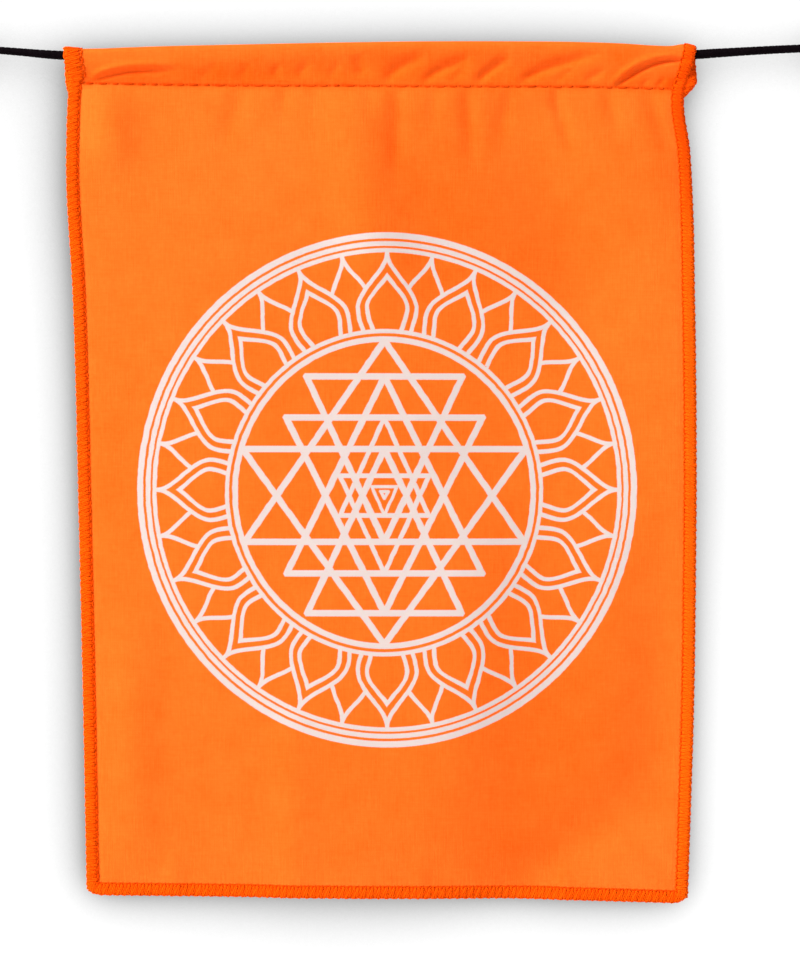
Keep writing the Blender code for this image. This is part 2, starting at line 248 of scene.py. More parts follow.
SLEEVE_PEAKS = (
    Peak(-92.0, 0.6),
    Peak(-88.0, 0.3),
    Peak(-82.0, 0.0),
    Peak(-76.0, 0.0),
    Peak(72.0, 0.0),
    Peak(79.0, 0.0),
    Peak(85.0, 0.4),
    Peak(89.0, 1.3),
    Peak(92.0, 0.5),
)

# Between which shares of its height the sleeve fills out, at its ends and in its middle.
Swell = namedtuple("Swell", "low high")
END_SWELL = Swell(-0.02, 0.76)
MIDDLE_SWELL = Swell(0.25, 1.0)
SWELL_SLOPE = 0.1
SWELL_RISES = (-60.0, -10.0)
SWELL_FALLS = (52.0, 66.0)
END_PRESS = 0.32
PRESS_STARTS = (82.0, 90.0)

# Puckers of the sleeve's front layer.
PUCKERS = (
    Fold(-85.0, -10.9, -79.0, -5.7, -58.0, -7.3, 1.0, 0.85),
    Fold(-84.6, -12.2, -78.6, -7.1, -58.0, -8.7, 0.85, -1.05),
    Fold(-54.0, -12.0, -51.0, -9.0, -47.0, -6.0, 1.5, -0.25),
    Fold(-42.0, -11.5, -40.0, -9.0, -38.0, -6.0, 1.3, -0.22),
    Fold(-31.5, -10.5, -30.6, -8.5, -29.6, -6.4, 1.2, -0.45),
    Fold(-24.5, -10.5, -23.0, -8.0, -20.5, -5.5, 1.5, -0.40),
    Fold(-15.0, -11.0, -13.5, -8.0, -12.0, -5.5, 1.3, -0.28),
    Fold(-7.0, -3.5, -6.0, -7.0, -5.2, -10.5, 1.8, -0.55),
    Fold(0.6, -13.0, 4.4, -5.6, 14.0, -4.2, 1.8, -0.85),
    Fold(11.5, -13.0, 16.5, -6.6, 28.0, -4.6, 1.5, -0.95),
    Fold(20.5, -12.0, 23.0, -8.5, 26.0, -7.0, 1.2, -0.30),
    Fold(27.5, -12.5, 31.5, -7.5, 38.0, -4.4, 1.4, -1.05),
    Fold(40.0, -13.0, 45.0, -6.4, 66.0, -3.8, 1.5, -1.05),
    Fold(50.5, -12.4, 53.0, -9.4, 58.0, -7.4, 1.2, -0.30),
    Fold(59.5, -11.8, 62.0, -9.8, 66.0, -8.2, 1.2, -0.50),
    Fold(66.1, -13.9, 76.3, -1.9, 92.0, -4.5, 1.0, 0.75),
    Fold(66.9, -15.1, 77.2, -3.3, 92.0, -6.0, 0.85, -1.6),
    Fold(-14.0, -7.0, 20.0, -6.6, 60.0, -7.0, 2.6, -0.25),
    Fold(76.5, -13.8, 77.0, -12.4, 78.2, -10.6, 0.8, -0.40),
    Fold(81.0, -13.8, 81.6, -12.2, 83.0, -10.2, 0.8, -0.40),
    Fold(85.0, -13.8, 86.0, -12.4, 88.0, -10.6, 0.9, -0.45),
)

# How finely the cloth is divided: columns across, then rows of its panel, sleeve front, fold over
# the cord, sleeve back and back hem.
COLUMNS = 250
ROWS = (116, 30, 10, 16, 4)
PATH_STEPS = 8
NOMINAL_HALF_WIDTH = 91.0
NOMINAL_PANEL = 237.0

# Sewing. A step says how far along the stitch it is, how far in from the edge and how high.
Step = namedtuple("Step", "run inset lift")
OVERLOCK_PITCH = 2.1
LOOPER_PITCH = 1.05
OVERLOCK_BAND = 3.3
NEEDLE_INSET = 3.18
UPPER_LOOPER = (
    Step(0.00, 2.90, -0.04),
    Step(0.15, 2.45, 0.08),
    Step(0.22, 1.60, 0.12),
    Step(0.28, 0.70, 0.10),
    Step(0.36, 0.08, 0.05),
    Step(0.50, -0.08, -0.06),
    Step(0.64, 0.08, 0.05),
    Step(0.72, 0.70, 0.10),
    Step(0.78, 1.60, 0.12),
    Step(0.85, 2.45, 0.08),
)
EDGE_THREAD = (
    Step(0.00, -0.18, 0.10),
    Step(0.25, -0.26, 0.02),
    Step(0.50, -0.18, -0.10),
    Step(0.75, -0.26, 0.0),
)
NEEDLE_THREAD = (
    Step(0.00, 3.18, -0.26),
    Step(0.22, 3.16, 0.0),
    Step(0.50, 3.12, 0.12),
    Step(0.78, 3.16, 0.0),
)
LOOPER_RADIUS = 0.34
LOOPER_SLANT = 0.35
LOOPER_PULL = 0.07
LOOPER_BACK_SHIFT = 0.36
EDGE_RADIUS = 0.27
NEEDLE_RADIUS = 0.24
NEEDLE_BACK_SHIFT = 0.5
THREAD_SIDES = 6
Wobble = namedtuple("Wobble", "reach turn")
THREAD_WOBBLES = (Wobble(0.10, 2.7), Wobble(0.06, 7.1))
SPREAD_RISES = (0.95, 1.3)
SPREAD_FALLS = (2.4, 3.0)
RUN_SAMPLES = 3000
SEAM_PITCH = 3.8
SEAM_RADIUS = 0.30
SEAM_THREAD = (
    Step(-0.35, 0.0, -0.24),
    Step(-0.25, 0.0, 0.02),
    Step(0.0, 0.0, 0.08),
    Step(0.25, 0.0, 0.02),
    Step(0.35, 0.0, -0.24),
)
SEAM_STITCH_LENGTHS = (1.05, 0.75, 0.95, 0.55, 1.1, 0.85, 0.6)

# The print: rings as radius and stroke, on a circle a little taller than wide.
Ring = namedtuple("Ring", "radius stroke")
PRINT_CENTRE = (1.8, -131.0)
PRINT_STRETCH = 1.028
OUTER_RINGS = (Ring(72.2, 1.75), Ring(69.9, 1.35), Ring(68.0, 1.2))
YANTRA_CENTRE = (1.0, -131.8)
INNER_RINGS = (Ring(45.9, 1.2), Ring(43.6, 1.6))

# The nine interlocked triangles: base height and half width, and tip height, from their centre.
Triangle = namedtuple("Triangle", "base half tip stroke")
TRIANGLES = (
    Triangle(12.7, 41.4, -44.4, 1.85),
    Triangle(21.9, 28.7, -35.2, 1.85),
    Triangle(33.9, 22.8, -14.4, 1.85),
    Triangle(4.9, 13.0, -23.6, 1.35),
    Triangle(1.7, 3.7, -6.7, 0.9),
    Triangle(-14.4, 40.8, 44.4, 1.85),
    Triangle(-23.6, 28.5, 33.9, 1.85),
    Triangle(-35.2, 22.5, 12.7, 1.85),
    Triangle(-6.7, 12.9, 21.9, 1.35),
)
BINDU = Triangle(0.3, 1.1, -1.7, 0.9)

# The lotus ring between the circles: front petals, each with a smaller outline inset in it, and
# petals that show behind them.
Petal = namedtuple("Petal", "turn foot tip half_width")
PETAL_COUNT = 16
FRONT_PETAL = Petal(0.0, 46.0, 66.8, 8.6)
REAR_PETAL = Petal(0.5, 50.0, 67.2, 5.6)
PETAL_STROKE = 1.2
PETAL_INSET = 2.7
PETAL_SHOULDER = 0.30
PETAL_WAIST = 0.74
INK_BLUR = 0.16

# The cloth's zones, by radius from the print's middle: bare, the ring of petals, and the triangles.
PETAL_ZONE = 74.5
TRIANGLE_ZONE = 44.8

ORANGE = (0.95, 0.158, 0.0165, 1.0)
DEEP_ORANGE = (0.90, 0.085, 0.0025, 1.0)
FOLD_TINT = (1.0, 0.30, 0.06, 1.0)
# Painted shade: the dark red put into the seam's groove and the needle holes.
PAINTED_RECESS_SHADE = (0.62, 0.040, 0.0, 1.0)
BAND_ORANGE = (0.90, 0.100, 0.0025, 1.0)
INK = (0.585, 0.512, 0.488, 1.0)
THREAD_ORANGE = (0.95, 0.122, 0.0028, 1.0)
DEEP_THREAD = (0.88, 0.082, 0.0012, 1.0)
# Painted shade: the right overlock's thread, darker and redder near the top.
SHADED_TOP_THREAD = (0.93, 0.046, 0.0006, 1.0)
LEFT_THREAD = (0.93, 0.102, 0.0020, 1.0)
DEEP_LEFT_THREAD = (0.86, 0.068, 0.0008, 1.0)
NEEDLE_ORANGE = (0.86, 0.075, 0.0010, 1.0)
DEEP_NEEDLE = (0.76, 0.050, 0.0005, 1.0)
# The lockstitch thread's orange, darkened with painted shade of the stitches' dimples.
SEAM_ORANGE = (0.74, 0.062, 0.0020, 1.0)
DEEP_SEAM = (0.55, 0.036, 0.0010, 1.0)
CORD_BLACK = (0.0016, 0.0006, 0.0011, 1.0)
WORN_BLACK = (0.0065, 0.0032, 0.0050, 1.0)
PALE = (0.80, 0.80, 0.80, 1.0)
# Painted shade in the seam's groove and in the needle holes, with the overlock band's fade.
GROOVE_SHADE = 0.45
GROOVE_FADE = (0.15, 0.75)
BAND_FADE = (-0.35, 0.15)
SEAM_HOLE = 0.45
NEEDLE_HOLE = 0.50
HOLE_SHADE = 0.8
# How far up and how strongly the painted shade darkens the thread near its top.
TOP_SHADE_REACH = (-70.0, -18.0)
TOP_SHADE_SHARE = 0.5

# The weave: threads a millimetre, its slubs' bumps a millimetre across and along them, its dye's level, and
# the strength of the painted shade and light.
WARP_COUNT = 2.0
WEFT_COUNT = 2.1
THREAD_SWAY = 1.2
SLUB_ACROSS = 2.2
SLUB_ALONG = 0.12
PAINTED_SHADING_STRENGTH = 0.22
DYE_LEVEL = 0.27
WEAVE_RELIEF = 0.10
FIBRE_RELIEF = 0.12

# How well the ink covers, how far it is worn off the threads, and its trace on the back.
INK_COVER = 0.97
INK_WEAR = 0.35
BACK_TRACE = 0.16

# Lamps, in mm from the flag's frame, and the sky's strength from above and from below.
Lamp = namedtuple("Lamp", "name place size watts")
LAMPS = (
    Lamp("key", (-2560.0, -1465.0, 1930.0), 1.6, 230.0),
    Lamp("fill", (1010.0, -1920.0, 1010.0), 1.5, 6.0),
    Lamp("back_fill", (-700.0, 2000.0, 900.0), 1.2, 30.0),
)
SKY_ABOVE = 0.29
SKY_BELOW = 0.15
# The wall behind: its depth, its glow, which is no lamp, and the flag's shadow painted on it from ambient
# occlusion, leant to fall more to the left and below; then the floor.
WALL_DEPTH = 8.0
WALL_GLOW = 1.13
SHADE_POWER = 1.6
SHADE_REACH = 60.0
SHADE_SAMPLES = 16
SHADE_LEAN = (0.15, -1.0, 0.06)
FLOOR_DROP = -330.0
STAGE_SPAN = 4000.0


def eased(low, high, value):
    """0 below low, 1 above high, and a smooth step between."""
    t = np.clip((value - low) / (high - low), 0.0, 1.0)
    return t * t * (3.0 - 2.0 * t)


def smooth_curve(keys, values, at):
    """A smooth curve through (key, value) points, with slopes taken from each point's neighbours."""
    keys, values = np.asarray(keys, float), np.asarray(values, float)
    slopes = np.gradient(values, keys)
    at = np.clip(at, keys[0], keys[-1])
    i = np.clip(np.searchsorted(keys, at) - 1, 0, len(keys) - 2)
    span = keys[i + 1] - keys[i]
    t = (at - keys[i]) / span
    start = (1 + 2 * t) * (1 - t) ** 2 * values[i] + t * (1 - t) ** 2 * span * slopes[i]
    end = t * t * (3 - 2 * t) * values[i + 1] + t * t * (t - 1) * span * slopes[i + 1]
    return start + end


def from_table(rows, at):
    keys, values = zip(*rows)
    return smooth_curve(keys, values, at)


def fold_shape(fold, x, z):
    """How far a fold lifts the cloth at x, z: full on its line, fading to its sides and ends."""
    t = np.linspace(0.0, 1.0, PATH_STEPS + 1)
    line_x = (1 - t) ** 2 * fold.x1 + 2 * t * (1 - t) * fold.x2 + t**2 * fold.x3
    line_z = (1 - t) ** 2 * fold.z1 + 2 * t * (1 - t) * fold.z2 + t**2 * fold.z3
    nearest = np.full(np.shape(x), np.inf)
    along = np.zeros(np.shape(x))
    for i in range(PATH_STEPS):
        step_x, step_z = line_x[i + 1] - line_x[i], line_z[i + 1] - line_z[i]
        reach = ((x - line_x[i]) * step_x + (z - line_z[i]) * step_z) / (step_x**2 + step_z**2)
        reach = np.clip(reach, 0.0, 1.0)
        away = np.hypot(x - line_x[i] - reach * step_x, z - line_z[i] - reach * step_z)
        along = np.where(away < nearest, (i + reach) / PATH_STEPS, along)
        nearest = np.minimum(nearest, away)
    fade = (1.0 - (2.0 * along - 1.0) ** 4) ** 2
    return fold.rise * np.exp(-((nearest / fold.half_width) ** 2)) * fade


def panel_rise(x, z):
    """How far the panel stands towards the viewer from its flat plane, in mm."""
    below = from_table(SEAM, x) - z
    broad = sum(fold_shape(fold, x, z) for fold in FOLDS)
    for wave in WAVES:
        turn = 2.0 * math.pi * (x + wave.shift + wave.lean * z) / wave.length
        broad = broad + wave.rise * eased(0.0, WAVE_GROWTH, below) * np.sin(turn)
    fine = sum(fold_shape(crease, x, z) for crease in CREASES)
    from_left = x - from_table(LEFT_EDGE, -z)
    ripple = RIPPLE_RISE * np.sin(2.0 * math.pi * (z + 0.25 * from_left) / RIPPLE_PITCH)
    ripple = ripple * np.exp(-((from_left / RIPPLE_REACH) ** 2))
    curl = ripple - EDGE_CURL * np.exp(-((from_left / EDGE_CURL_REACH) ** 2))
    dent = SEAM_DENT * np.exp(-((below / SEAM_DENT_REACH) ** 2))
    to_side = np.minimum(from_left, from_table(RIGHT_EDGE, -z) - x)
    to_edge = np.minimum(to_side, z - from_table(BOTTOM, x))
    dent = dent + BAND_DENT * np.exp(-(((to_edge - OVERLOCK_BAND) / BAND_DENT_REACH) ** 2))
    return broad * eased(0.0, SEAM_HOLD, below) + fine + curl * eased(0.0, 20.0, below) - dent


def pucker_rise(x, z, up):
    """How far the sleeve's front stands out in a pucker, in mm, from the seam at 0 to the cord at 1."""
    return sum(fold_shape(fold, x, z) for fold in PUCKERS) * (1.0 - (2.0 * up - 1.0) ** 8)


def side_x(u, w, z):
    """Where a share of the way across the cloth lies, in mm, at a height; w says on which layer."""
    left, right = from_table(LEFT_EDGE, -z), from_table(RIGHT_EDGE, -z)
    slip = from_table(LEFT_SLIP, -z) * eased(SLIP_START, 1.0, 1.0 - u)
    slip = slip + from_table(RIGHT_SLIP, -z) * eased(SLIP_START, 1.0, u)
    return left + u * (right - left) + slip * np.clip(w - 2.0, 0.0, 1.0)


def sleeve_swell(x, up):
    """How full the sleeve's layers stand, from the seam at 0 to the cord at 1.

    They fill out low down near the ends and just below the cord between them, and are pressed
    together at the right end."""
    middle = eased(*SWELL_RISES, x) - eased(*SWELL_FALLS, x)
    low = END_SWELL.low + (MIDDLE_SWELL.low - END_SWELL.low) * middle
    high = END_SWELL.high + (MIDDLE_SWELL.high - END_SWELL.high) * middle
    pressed = END_PRESS * eased(*PRESS_STARTS, x)
    return SWELL_SLOPE * up + (1.0 - SWELL_SLOPE) * eased(low + pressed, high, up)


def cloth_profile(x, w):
    """Depth, height and flat length in mm of the cloth's middle at x.

    w runs along the strip: 0 to 1 up the panel, to 2 up the sleeve's front, to 3 over the cord, to
    4 down the sleeve's back and to 5 down the back hem."""
    half, loop = 0.5 * CLOTH, 0.5 * CORD_DIAMETER + CORD_PLAY + 0.5 * CLOTH
    cord_z, seam_z, bottom_z = from_table(CORD_ROUTE, x), from_table(SEAM, x), from_table(BOTTOM, x)
    height = cord_z - seam_z

    corner = np.minimum(x - from_table(LEFT_EDGE, 250.0), from_table(RIGHT_EDGE, 250.0) - x)
    bottom_z = bottom_z + CORNER_RISE * np.clip(1.0 - corner / CORNER_ROUND, 0.0, 1.0) ** 2
    panel_z = bottom_z + w * (seam_z - bottom_z)
    panel_y = -half - panel_rise(x, panel_z)

    up = np.clip(w - 1.0, 0.0, 1.0)
    front_z = seam_z + up * height
    dent = SEAM_DENT * np.exp(-((up * height / SEAM_DENT_REACH) ** 2))
    front_y = -half - (loop - half) * sleeve_swell(x, up) + dent - pucker_rise(x, front_z, up)

    turn = math.pi * np.clip(w - 2.0, 0.0, 1.0)
    over_z = cord_z + (loop + from_table(SLEEVE_PEAKS, x)) * np.sin(turn)
    down = np.clip(4.0 - w, 0.0, 1.0)
    back_z = seam_z + down * height
    back_dent = SEAM_DENT * np.exp(-((down * height / SEAM_DENT_REACH) ** 2))
    room = (loop - half) * sleeve_swell(x, down)
    pushed = np.maximum(-pucker_rise(x, back_z, down) - 2.0 * room, 0.0)
    back_y = half + room + back_dent + pushed
    hem = BACK_HEM * np.clip(w - 4.0, 0.0, 1.0)
    hem_y = CLOTH - half + HEM_ROOM * np.clip(w - 4.0, 0.0, 1.0) - panel_rise(x, seam_z - hem)

    parts = [w < 1.0, w < 2.0, w < 3.0, w < 4.0]
    y = np.select(parts, [panel_y, front_y, -loop * np.cos(turn), back_y], hem_y)
    z = np.select(parts, [panel_z, front_z, over_z, back_z], seam_z - hem)
    over = cord_z + math.pi * loop
    flat = np.select(
        parts,
        [panel_z, front_z, cord_z + loop * turn, over + (1.0 - down) * height],
        over + height + hem,
    )
    return y, z, flat


def cloth_at(u, w):
    """Points in mm on the cloth's middle, and their flat lengths, u across and w along."""
    x = NOMINAL_HALF_WIDTH * (2.0 * u - 1.0)
    for _ in range(2):
        y, z, flat = cloth_profile(x, w)
        x = side_x(u, w, z)
    return np.stack([x, y, z], axis=-1), flat


def cloth_above(u, w, lift):
    """Points in mm that stand off the cloth's printed side, or off its back where lift is below 0."""
    step = 1e-3
    here = cloth_at(u, w)[0]
    across = cloth_at(u + step, w)[0] - here
    ahead = np.minimum(w + step, 5.0)
    along = cloth_at(u, ahead)[0] - cloth_at(u, ahead - step)[0]
    normal = np.cross(across, along)
    normal /= np.linalg.norm(normal, axis=-1, keepdims=True)
    return here + normal * np.asarray(lift)[..., None]


def world(points):
    return (np.asarray(points) + FLAG_ORIGIN) * MM


def mesh_piece(name, points, faces, surfaces):
    """A smooth piece of the object from points in mm, riding on the one body."""
    mesh = bpy.data.meshes.new(name)
    mesh.from_pydata(world(points).tolist(), [], faces)
    mesh.shade_smooth()
    piece = bpy.data.objects.new(name, mesh)
    bpy.context.scene.collection.objects.link(piece)
    for surface in surfaces:
        mesh.materials.append(surface)
    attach(piece, "root")
    return piece


def grid_faces(rows, columns, around=False):
    """Quads between the points of a grid; around also joins its last column to its first."""
    row, column = np.meshgrid(np.arange(rows - 1), np.arange(columns - (not around)), indexing="ij")
    beside = (column + 1) % columns
    corners = (
        row * columns + column,
        row * columns + beside,
        (row + 1) * columns + beside,
        (row + 1) * columns + column,
    )
    return np.stack([c.ravel() for c in corners], axis=1)


def tube(points, radius, sides, relief=None):
    """Points and faces of a tube with closed ends, along points in mm.

    radius is one number or one for each point, and relief(angle, distance) raises the surface."""
    points = np.asarray(points, float)
    ahead = np.gradient(points, axis=0)
    ahead /= np.linalg.norm(ahead, axis=1, keepdims=True)
    distance = np.concatenate([[0.0], np.cumsum(np.linalg.norm(np.diff(points, axis=0), axis=1))])
    side = np.empty_like(points)
    start = np.cross(ahead[0], (0.0, 1.0, 0.3))
    side[0] = start / np.linalg.norm(start)
    for i in range(1, len(points)):
        turned = side[i - 1] - ahead[i] * np.dot(side[i - 1], ahead[i])
        side[i] = turned / np.linalg.norm(turned)
    other = np.cross(ahead, side)
    angle = 2.0 * math.pi * np.arange(sides) / sides
    reach = np.broadcast_to(np.asarray(radius, float), len(points))[:, None] * np.ones(sides)
    if relief is not None:
        reach = reach + relief(angle[None, :], distance[:, None])
    ring = side[:, None] * np.cos(angle)[None, :, None] + other[:, None] * np.sin(angle)[None, :, None]
    skin = points[:, None] + ring * reach[..., None]
    faces = grid_faces(len(points), sides, around=True).tolist()
    last = (len(points) - 1) * sides
    faces.append(list(range(sides - 1, -1, -1)))
    faces.append(list(range(last, last + sides)))
    return skin.reshape(-1, 3), faces


def joined(parts):
    """Several (points, faces) bodies as one."""
    points, faces, start = [], [], 0
    for some_points, some_faces in parts:
        points.append(some_points)
        faces += [[i + start for i in face] for face in some_faces]
        start += len(some_points)
    return np.concatenate(points), faces


VALUED = {"DOT_PRODUCT", "LENGTH"}


class Field:
    """A number that varies over a surface, with the arithmetic that a node tree can do."""

    def __init__(self, tree, socket):
        self.tree, self.socket = tree, socket

    def do(self, operation, *others, kind="ShaderNodeMath"):
        node = self.tree.nodes.new(kind)
        node.operation = operation
        for slot, value in zip(node.inputs, (self, *others)):
            if isinstance(value, Field):
                self.tree.links.new(value.socket, slot)
            else:
                slot.default_value = value
        return Field(self.tree, node.outputs["Value" if operation in VALUED else 0])

    def __add__(self, other):
        return self.do("ADD", other)

    def __sub__(self, other):
        return self.do("SUBTRACT", other)

    def __mul__(self, other):
        return self.do("MULTIPLY", other)

    def __truediv__(self, other):
        return self.do("DIVIDE", other)

    def __abs__(self):
        return self.do("ABSOLUTE")

    def least(self, other):
        return self.do("MINIMUM", other)

    def most(self, other):
        return self.do("MAXIMUM", other)

    def vector(self, operation, *others):
        return self.do(operation, *others, kind="ShaderNodeVectorMath")

    def step(self, low, high, to_low=0.0, to_high=1.0):
        """A smooth step from to_low at low to to_high at high."""
        node = self.tree.nodes.new("ShaderNodeMapRange")
        node.interpolation_type = "SMOOTHSTEP"
        values = (low, high, to_low, to_high)
        for slot, value in zip(list(node.inputs)[1:5], values):
            slot.default_value = value
        self.tree.links.new(self.socket, node.inputs[0])
        return Field(self.tree, node.outputs[0])


def combined(tree, x, y, z=0.0):
    node = tree.nodes.new("ShaderNodeCombineXYZ")
    for slot, value in zip(node.inputs, (x, y, z)):
        if isinstance(value, Field):
            tree.links.new(value.socket, slot)
        else:
            slot.default_value = value
    return Field(tree, node.outputs[0])


def separated(vector):
    node = vector.tree.nodes.new("ShaderNodeSeparateXYZ")
    vector.tree.links.new(vector.socket, node.inputs[0])
    return [Field(vector.tree, out) for out in node.outputs]


def noise(vector, scale, detail=2.0, roughness=0.5):
    """Noise from 0 to 1 over a vector of millimetres; scale is in bumps a millimetre."""
    node = vector.tree.nodes.new("ShaderNodeTexNoise")
    vector.tree.links.new(vector.socket, node.inputs["Vector"])
    node.inputs["Scale"].default_value = scale
    node.inputs["Detail"].default_value = detail
    node.inputs["Roughness"].default_value = roughness
    return Field(vector.tree, node.outputs["Fac"])


def attribute(tree, name):
    node = tree.nodes.new("ShaderNodeAttribute")
    node.attribute_name = name
    return Field(tree, node.outputs["Vector"])


def mixed(tree, share, first, second):
    """A colour between two, each a colour or a node's socket."""
    node = tree.nodes.new("ShaderNodeMix")
    node.data_type = "RGBA"
    for slot, value in ((node.inputs[0], share), (node.inputs[6], first), (node.inputs[7], second)):
        if isinstance(value, Field):
            tree.links.new(value.socket, slot)
        else:
            slot.default_value = value
    return Field(tree, node.outputs[2])


def new_material(name, roughness, specular, sheen=0.0, sheen_tint=FOLD_TINT):
    """A material with its shader's constants set; returns it, its node tree and its shader."""
    made = bpy.data.materials.new(name)
    made.use_nodes = True
    tree = made.node_tree
    shader = tree.nodes["Principled BSDF"]
    shader.inputs["Roughness"].default_value = roughness
    shader.inputs["Specular IOR Level"].default_value = specular
    shader.inputs["Sheen Weight"].default_value = sheen
    shader.inputs["Sheen Roughness"].default_value = 0.5
    shader.inputs["Sheen Tint"].default_value = sheen_tint
    return made, tree, shader


def link_colour_and_bump(tree, shader, colour, height, distance, strength=1.0):
    tree.links.new(colour.socket, shader.inputs["Base Color"])
    bump = tree.nodes.new("ShaderNodeBump")
    bump.inputs["Strength"].default_value = strength
    bump.inputs["Distance"].default_value = distance * MM
    tree.links.new(height.socket, bump.inputs["Height"])
    tree.links.new(bump.outputs["Normal"], shader.inputs["Normal"])


def triangle_ink(point, triangle):
    """How far outside a triangle's drawn outline a point is; its x is folded onto the right half.

    The outline's corners and tip are cut off square, as a drawn stroke ends."""
    way = 1.0 if triangle.base > triangle.tip else -1.0
    side = np.array([abs(triangle.base - triangle.tip), -way * triangle.half])
    side /= np.hypot(*side)
    past_side = point.vector("DOT_PRODUCT", (*side, 0.0)) - side[1] * triangle.tip
    past_base = point.vector("DOT_PRODUCT", (0.0, way, 0.0)) - way * triangle.base
    bevel = side + (0.0, way)
    bevel /= np.hypot(*bevel)
    past_corner = point.vector("DOT_PRODUCT", (*bevel, 0.0)) - np.dot(bevel, (triangle.half, triangle.base))
    past_tip = point.vector("DOT_PRODUCT", (0.0, -way, 0.0)) + way * triangle.tip
    outside = past_side.most(past_base).most(past_corner.most(past_tip))
    return abs(outside) - 0.5 * triangle.stroke


def petal_reach(share, petal):
    """A petal's half width at a share of its height: full at the shoulder, then an ogee tip."""
    swell = share.step(-0.2, PETAL_SHOULDER, PETAL_WAIST, 1.0)
    return swell * share.step(PETAL_SHOULDER, 1.02, petal.half_width, 0.0)


def petal_distance(radius, turn, petal):
    """About how far outside a ring of petals a point is, below 0 inside them."""
    folded = (turn * PETAL_COUNT + petal.turn + 0.5).do("FRACT") - 0.5
    aside = abs(folded) * (2.0 * math.pi / PETAL_COUNT) * radius
    height = petal.tip - petal.foot
    share = (radius - petal.foot) / height
    reach = petal_reach(share, petal)
    nudge = 0.02
    slope = (petal_reach(share + nudge, petal) - reach) / (nudge * height)
    return (aside - reach) / (slope * slope + 1.0).do("SQRT")


def rings_ink(radius, rings):
    away = abs(radius - rings[0].radius) - 0.5 * rings[0].stroke
    for ring in rings[1:]:
        away = away.least(abs(radius - ring.radius) - 0.5 * ring.stroke)
    return away


def petals_ink(x, z, inner_radius):
    """How far outside the outer rings' and the petals' lines a point is."""
    ring_x, ring_z = x - PRINT_CENTRE[0], (z - PRINT_CENTRE[1]) / PRINT_STRETCH
    radius = combined(x.tree, ring_x, ring_z).vector("LENGTH")
    turn = ring_x.do("ARCTAN2", ring_z) / (2.0 * math.pi)
    front = petal_distance(radius, turn, FRONT_PETAL)
    rear = petal_distance(radius, turn, REAR_PETAL)
    lines = abs(front).least(abs(front + PETAL_INSET)).least(abs(rear).most(front * -1.0))
    lines = lines - 0.5 * PETAL_STROKE
    lines = lines.most(inner_radius * -1.0 + INNER_RINGS[0].radius).most(radius - OUTER_RINGS[-1].radius)
    return lines.least(rings_ink(radius, OUTER_RINGS))


def triangles_ink(x, z):
    """How far outside the triangles' lines a point is."""
    point = combined(x.tree, abs(x), z)
    away = triangle_ink(point, BINDU)
    for triangle in TRIANGLES:
        away = away.least(triangle_ink(point, triangle))
    return away


def print_ink(x, z, zone):
    """1 where the print's ink lies and 0 where the cloth is bare, at flat places in mm in a zone."""
    sway = noise(combined(x.tree, x, z), 0.35, 1.0)
    x = x + (sway - 0.5) * 0.5
    inner_x, inner_z = x - YANTRA_CENTRE[0], z - YANTRA_CENTRE[1]
    inner_radius = combined(x.tree, inner_x, inner_z / PRINT_STRETCH).vector("LENGTH")
    away = rings_ink(inner_radius, INNER_RINGS)
    more = petals_ink(x, z, inner_radius) if zone == "petals" else triangles_ink(inner_x, inner_z)
    grain = noise(combined(x.tree, x, z), 2.2, 2.0, 0.7)
    return (away.least(more) + (grain - 0.5) * 0.22).step(-INK_BLUR, INK_BLUR, 1.0, 0.0)


def stitch_holes(place, pitch, inset, size):
    """1 in the needle holes of a line of stitches, from the place along it and in from it."""
    run, off, _ = separated(place)
    along = ((run / pitch + 0.5).do("FRACT") - 0.5) * pitch
    away = combined(run.tree, along, off - inset).vector("LENGTH")
    return away.step(0.4 * size, size, 1.0, 0.0)


def weave(tree, x, z):
    """Colour share and height of plain-woven cotton with slubs, at flat places in mm; the share also
    carries the painted shade and light.
    """
    warp_slub = noise(combined(tree, x * SLUB_ACROSS, z * SLUB_ALONG), 1.0, 3.0, 0.65)
    weft_slub = noise(combined(tree, x * SLUB_ALONG, z * SLUB_ACROSS), 1.0, 3.0, 0.65)
    sway = noise(combined(tree, x, z), 0.8, 1.0) * THREAD_SWAY
    warp = ((x * WARP_COUNT + sway) * math.pi * 2.0).do("SINE")
    weft = ((z * WEFT_COUNT + sway) * math.pi * 2.0).do("SINE")
    height = warp * weft * 0.12 + warp_slub * 0.9 + weft_slub * 0.6
    blotch = noise(combined(tree, x, z), 0.12, 4.0, 0.6)
    fleck = noise(combined(tree, x, z), 0.8, 2.0, 0.6)
    share = (warp_slub - 0.5) * 0.66 + (weft_slub - 0.5) * 0.5 + (blotch - 0.5) * 0.6 + (fleck - 0.5) * 0.5
    # Painted shade and painted light, kept at each point of the mesh.
    painted_shading = separated(attribute(tree, "painted_shading"))[0]
    return share + painted_shading * PAINTED_SHADING_STRENGTH + warp * weft * 0.015 + DYE_LEVEL, height


def cotton_material(name, zone, printed):
    """Orange woven cotton; its printed face carries the ink, its back only a trace of it."""
    made, tree, shader = new_material(name, roughness=0.9, specular=0.03, sheen=0.05)
    uv = tree.nodes.new("ShaderNodeUVMap")
    uv.uv_map = "flat"
    x, z, _ = separated(Field(tree, uv.outputs[0]))
    x, z = x / MM, z / MM
    share, height = weave(tree, x, z)
    colour = mixed(tree, share.most(0.0).least(1.0), ORANGE, DEEP_ORANGE)
    if zone == "bare":
        colour = sewn_colour(tree, colour)
    else:
        ink = print_ink(x, z, zone)
        cover = ink * BACK_TRACE
        if printed:
            worn = noise(combined(tree, x, z), 3.4, 1.0, 0.8).step(0.60, 0.80, 0.0, INK_WEAR)
            cover = ink * (worn * -1.0 + INK_COVER)
            height = height * (ink * -0.45 + 1.0) + ink * 0.35
        colour = mixed(tree, cover, colour, INK)
    link_colour_and_bump(tree, shader, colour, height, distance=WEAVE_RELIEF)
    return made


